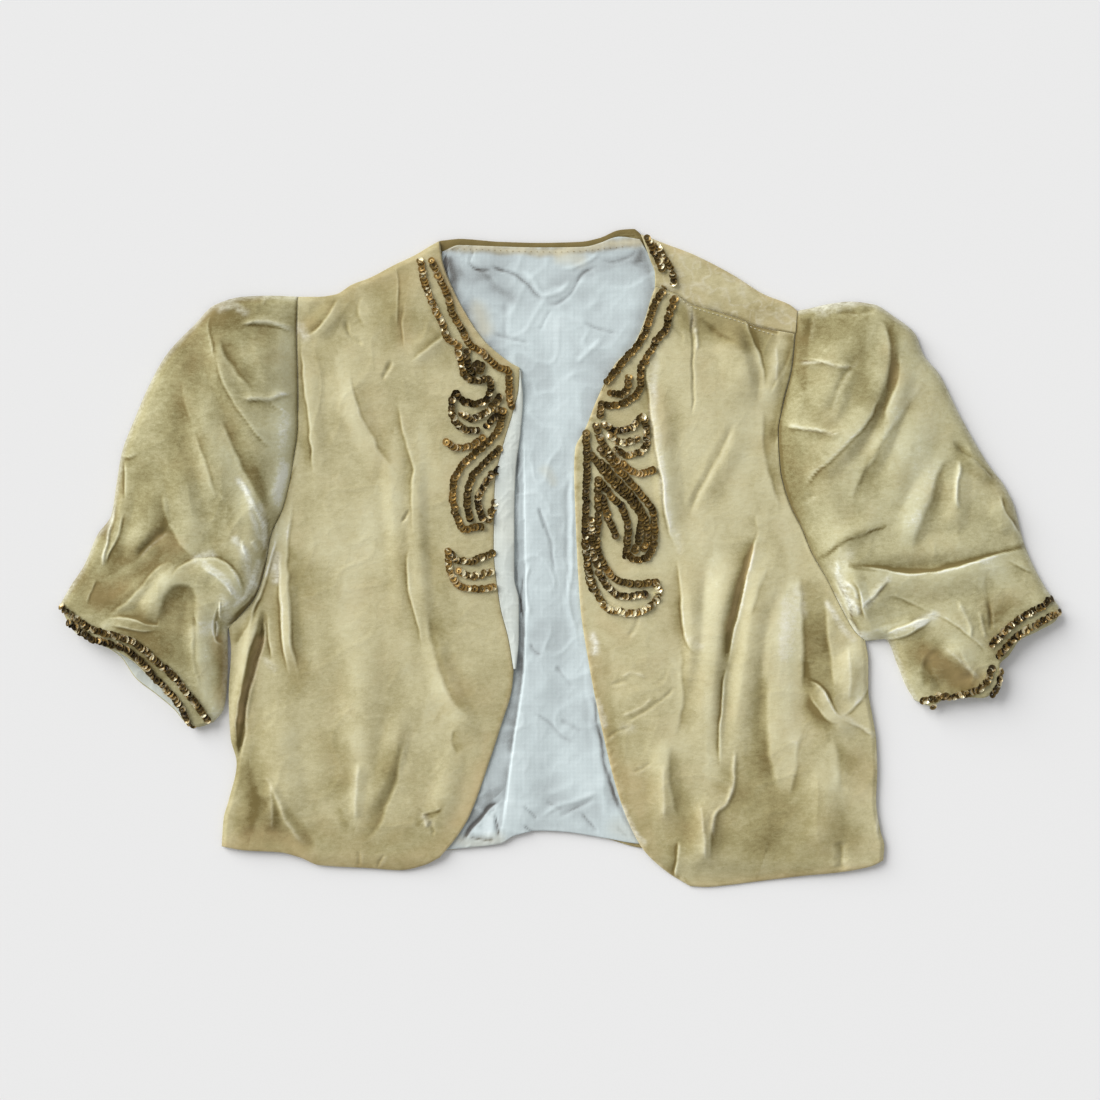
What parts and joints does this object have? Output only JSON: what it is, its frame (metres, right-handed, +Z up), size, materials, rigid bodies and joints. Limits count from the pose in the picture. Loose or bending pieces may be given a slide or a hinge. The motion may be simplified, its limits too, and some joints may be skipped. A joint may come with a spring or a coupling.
{
  "type": "cropped velvet shrug",
  "caption": "Open-front cropped jacket in pale gold velvet with short puffed sleeves, laid flat, with sequin scrolls and a pale lining",
  "frame": {"origin": "middle of the outline on the surface that the garment lies on", "axes": "X across the garment from its right sleeve to its left sleeve as worn, Y from hem to neck, Z up from the surface"},
  "size_m": [0.7578, 0.5, 0.0275],
  "materials": {
    "velvet_back": "crushed pile velvet",
    "velvet_shoulder": "crushed pile velvet",
    "lining_back": "plain woven lining, slightly satin",
    "velvet_front_left": "crushed pile velvet",
    "lining_front": "plain woven lining, slightly satin",
    "velvet_front_right": "crushed pile velvet",
    "velvet_sleeve_left": "crushed pile velvet",
    "lining_sleeve": "plain woven lining, slightly satin",
    "velvet_sleeve_right": "crushed pile velvet"
  },
  "bodies": {
    "root": {"back": "velvet_back", "back_shoulder_right": "velvet_shoulder", "back_lining": "lining_back", "front_left": "velvet_front_left", "front_lining_left": "lining_front", "front_right": "velvet_front_right", "sleeve_left": "velvet_sleeve_left", "sleeve_lining_left": "lining_sleeve", "sleeve_right": "velvet_sleeve_right"}
  },
  "joints": []
}
